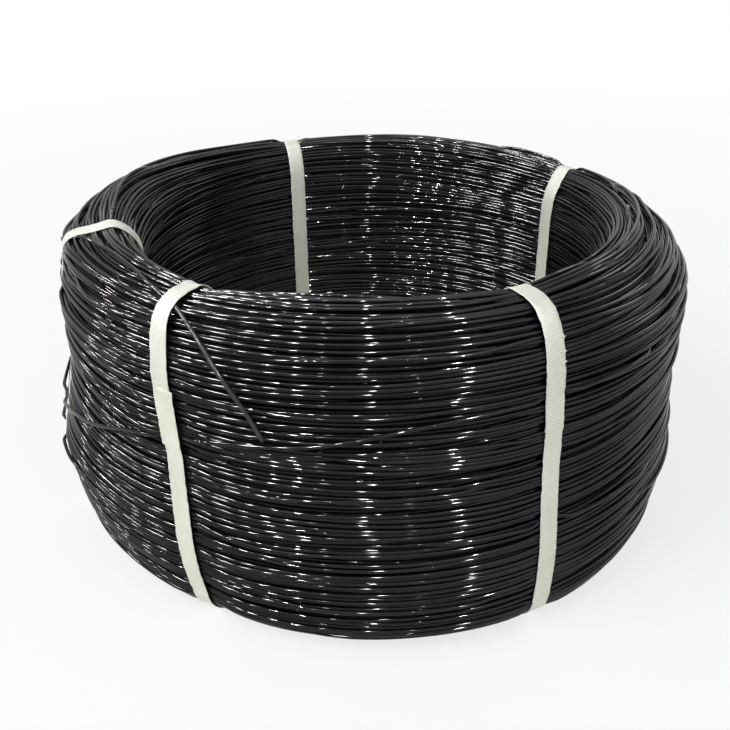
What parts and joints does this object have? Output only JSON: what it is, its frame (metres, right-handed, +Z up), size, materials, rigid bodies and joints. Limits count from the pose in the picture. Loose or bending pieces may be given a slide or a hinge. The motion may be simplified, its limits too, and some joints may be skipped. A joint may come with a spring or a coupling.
{
  "type": "coil of polyester wire",
  "caption": "Ring-shaped coil of black polyester monofilament wire, standing on its end and bound around its section by white plastic straps.",
  "frame": {"origin": "on the coil's axis, at the level of the lower end it stands on", "axes": "+Z up along the coil's axis, -Y towards the side where the wire's free end lies"},
  "size_m": [0.5438, 0.5438, 0.265],
  "materials": {
    "wire": "glossy black drawn polyester",
    "strap": "satin off-white, with a fine embossed pattern"
  },
  "bodies": {
    "root": {"wire_coil": "wire", "loose_end": "wire", "strap_front_left": "strap", "strap_front_right": "strap", "strap_left": "strap", "strap_back_left": "strap", "strap_back_right": "strap"}
  },
  "joints": []
}
